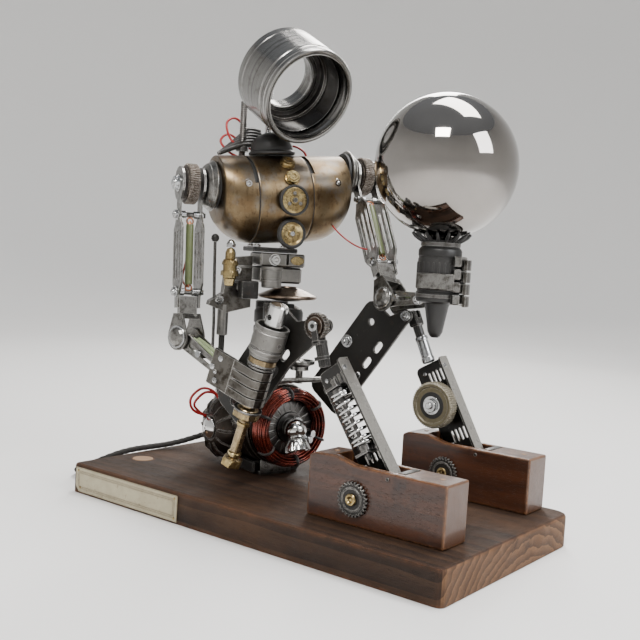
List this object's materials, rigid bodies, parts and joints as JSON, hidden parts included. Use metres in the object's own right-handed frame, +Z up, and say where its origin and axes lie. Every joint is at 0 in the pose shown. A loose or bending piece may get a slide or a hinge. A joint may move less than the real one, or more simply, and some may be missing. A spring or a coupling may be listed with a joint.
{
  "type": "robot table lamp",
  "caption": "Seated robot made of machine parts on a wooden plank; jointed arms and head; one hand holds a lampholder with a mirrored globe bulb, the other a piston.",
  "frame": {"origin": "middle of the plank's underside", "axes": "+X to the robot's left, -Y the way the feet point, +Z up"},
  "size_m": [0.3093, 0.4711, 0.4501],
  "materials": {
    "stained_wood": "satin, worn",
    "inlay": "matt",
    "label_plate": "aged, dull",
    "mahogany": "polished, worn",
    "black_steel": "satin black, rubbed edges",
    "steel": "brushed, worn",
    "chrome": "polished",
    "cast_alloy": "as cast, rubbed",
    "brass": "tarnished",
    "torso_brass": "tarnished, rubbed",
    "motor_black": "dark, oily",
    "copper_coil": "varnished copper winding",
    "khaki_wheel": "dull olive",
    "brown_wheel": "burnt dark",
    "wheel_rubber": "brass dish with a black rim",
    "black_plastic": "moulded",
    "mirror_glass": "smoked mirror glass",
    "cord_cloth": "black twisted cloth"
  },
  "bodies": {
    "base": {"base_plank": "stained_wood", "plank_inlay": "inlay", "name_plate": "label_plate", "right_foot_block": "mahogany", "left_foot_block": "mahogany", "right_foot_gear": "black_steel", "left_foot_gear": "black_steel", "right_shin_channel": "black_steel", "left_shin_channel": "black_steel", "right_shin_spring": "chrome", "right_knee_strut": "black_steel", "right_knee_gear": "black_steel", "left_knee_fork": "steel", "right_thigh": "black_steel", "left_thigh": "black_steel", "hip_axle": "steel", "hip_pulley": "steel", "motor_housing": "motor_black", "stator_coil": "copper_coil", "motor_cradle": "black_steel", "pelvis_casting": "black_steel", "pelvis_skirt": "motor_black", "waist_cylinder": "cast_alloy", "waist_block": "cast_alloy", "waist_top_plate": "black_steel", "waist_lower_block": "cast_alloy", "waist_side_casting": "cast_alloy", "waist_brass_fitting": "brass", "torso_right_shell": "torso_brass", "torso_centre_shell": "torso_brass", "torso_left_shell": "torso_brass", "right_shoulder_cup": "steel", "left_shoulder_cup": "steel", "chest_dial": "wheel_rubber", "neck_dome": "black_steel", "neck_rod_right": "steel", "neck_rod_left": "brass", "cord_gland": "black_plastic", "cord_run": "cord_cloth", "cord_coil": "cord_cloth", "cord_plug": "black_plastic"},
    "chest_wheel": {"chest_wheel": "wheel_rubber"},
    "pinion": {"drive_pinion": "chrome"},
    "shin_wheel": {"left_shin_wheel": "khaki_wheel"},
    "head": {"head_ring": "steel"},
    "right_upper_arm": {"right_upper_arm": "steel", "right_shoulder_wheel": "brown_wheel", "right_elbow_fork": "steel"},
    "right_forearm": {"right_forearm": "steel"},
    "right_hand": {"right_hand": "steel", "piston_rod": "brass", "piston_crown": "cast_alloy", "piston_pin": "chrome"},
    "left_upper_arm": {"left_upper_arm": "steel", "left_shoulder_wheel": "brown_wheel", "left_elbow_fork": "steel"},
    "left_forearm": {"left_forearm": "steel"},
    "left_hand": {"left_hand": "steel", "lampholder": "black_plastic"},
    "globe": {"globe_bulb": "mirror_glass"}
  },
  "joints": [
    {"name": "head_nod", "type": "hinge", "parent": "base", "child": "head", "pos_m": [0.0195, 0.099, 0.373], "axis": [-0.9659, 0.2588, 0], "range_deg": [0, 25]},
    {"name": "right_shoulder", "type": "hinge", "parent": "base", "child": "right_upper_arm", "pos_m": [-0.0549, 0.1217, 0.2995], "axis": [-0.8829, 0.4695, 0], "range_deg": [0, 45]},
    {"name": "right_elbow", "type": "hinge", "parent": "right_upper_arm", "child": "right_forearm", "pos_m": [-0.06075, 0.11069, 0.15704], "axis": [-0.9992, 0.0016, 0.0409], "range_deg": [-3, 35]},
    {"name": "right_wrist", "type": "hinge", "parent": "right_forearm", "child": "right_hand", "pos_m": [-0.06188, 0.05748, 0.13159], "axis": [-0.9992, 0.0016, 0.0409], "range_deg": [-8, 12]},
    {"name": "left_shoulder", "type": "hinge", "parent": "base", "child": "left_upper_arm", "pos_m": [0.10279, 0.03785, 0.322], "axis": [-0.8829, 0.4695, 0], "range_deg": [0, 35]},
    {"name": "left_elbow", "type": "hinge", "parent": "left_upper_arm", "child": "left_forearm", "pos_m": [0.06623, -0.03092, 0.20207], "axis": [-0.9626, 0.2073, 0.1746], "range_deg": [0, 12]},
    {"name": "left_wrist", "type": "hinge", "parent": "left_forearm", "child": "left_hand", "pos_m": [0.05779, -0.07294, 0.20546], "axis": [-0.9626, 0.2073, 0.1746], "range_deg": [-8, 8]},
    {"name": "globe_turn", "type": "hinge", "parent": "left_hand", "child": "globe", "pos_m": [0.04, -0.096, 0.324], "axis": [0, 0, 1], "continuous": true},
    {"name": "pinion_spin", "type": "hinge", "parent": "base", "child": "pinion", "pos_m": [0.00286, 0.02413, 0.071], "axis": [0.1057, 0.3253, 0.9397], "continuous": true},
    {"name": "chest_wheel_spin", "type": "hinge", "parent": "base", "child": "chest_wheel", "pos_m": [0.00536, 0.04718, 0.25878], "axis": [-0.4695, -0.8829, 0], "continuous": true},
    {"name": "shin_wheel_spin", "type": "hinge", "parent": "base", "child": "shin_wheel", "pos_m": [0.084, -0.08214, 0.10917], "axis": [1, 0, 0], "continuous": true}
  ]
}
